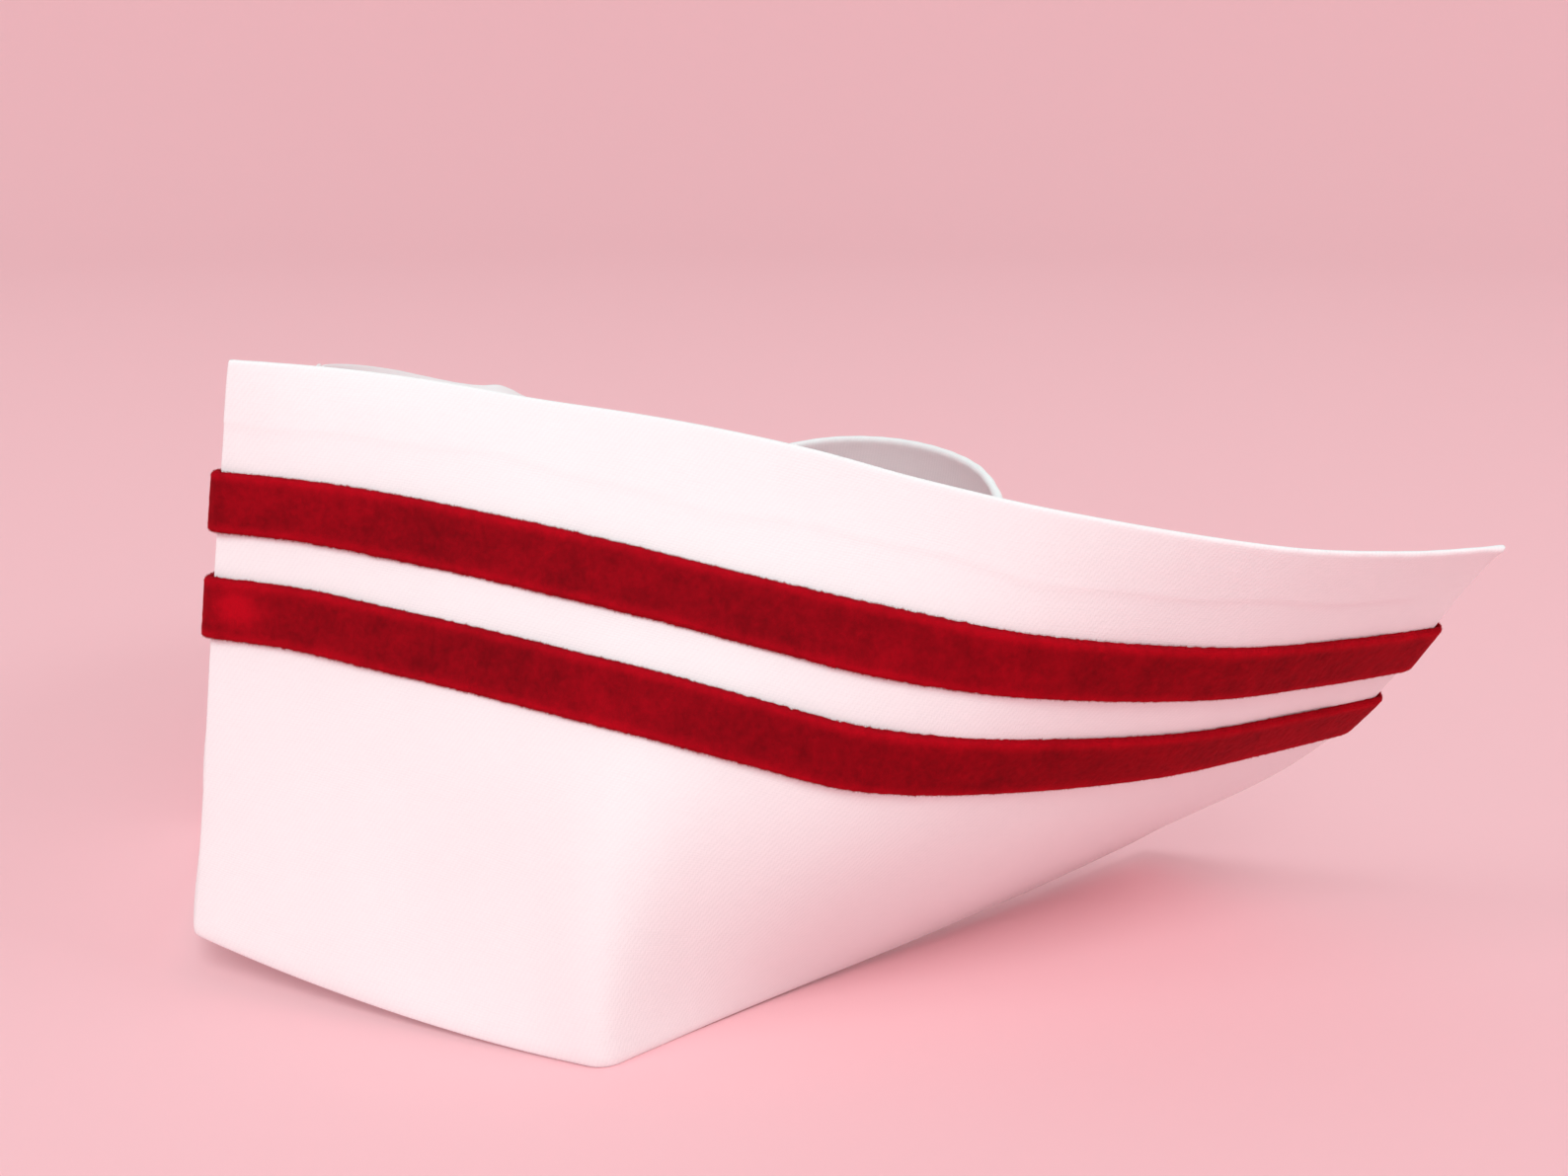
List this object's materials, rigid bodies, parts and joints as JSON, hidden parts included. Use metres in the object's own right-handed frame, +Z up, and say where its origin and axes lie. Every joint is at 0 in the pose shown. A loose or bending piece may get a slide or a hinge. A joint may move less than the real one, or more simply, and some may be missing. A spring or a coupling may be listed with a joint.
{
  "type": "nurse cap",
  "caption": "Folded white cotton nurse cap with a wide turned-up cuff that flares into side wings, velvet ribbons round the cuff and an open crown wall behind.",
  "frame": {"origin": "on the surface the cap rests on, under the middle of its box, in the plane of the centre-front crease", "axes": "+Z up, -Y towards the centre-front crease, +X across the cap to the wearer's left wing"},
  "size_m": [0.261, 0.1694, 0.0955],
  "materials": {
    "white_cotton": "starched plain weave",
    "red_velvet": "short brushed pile"
  },
  "bodies": {
    "root": {"cuff": "white_cotton", "crown": "white_cotton", "upper_ribbon": "red_velvet", "lower_ribbon": "red_velvet"}
  },
  "joints": []
}
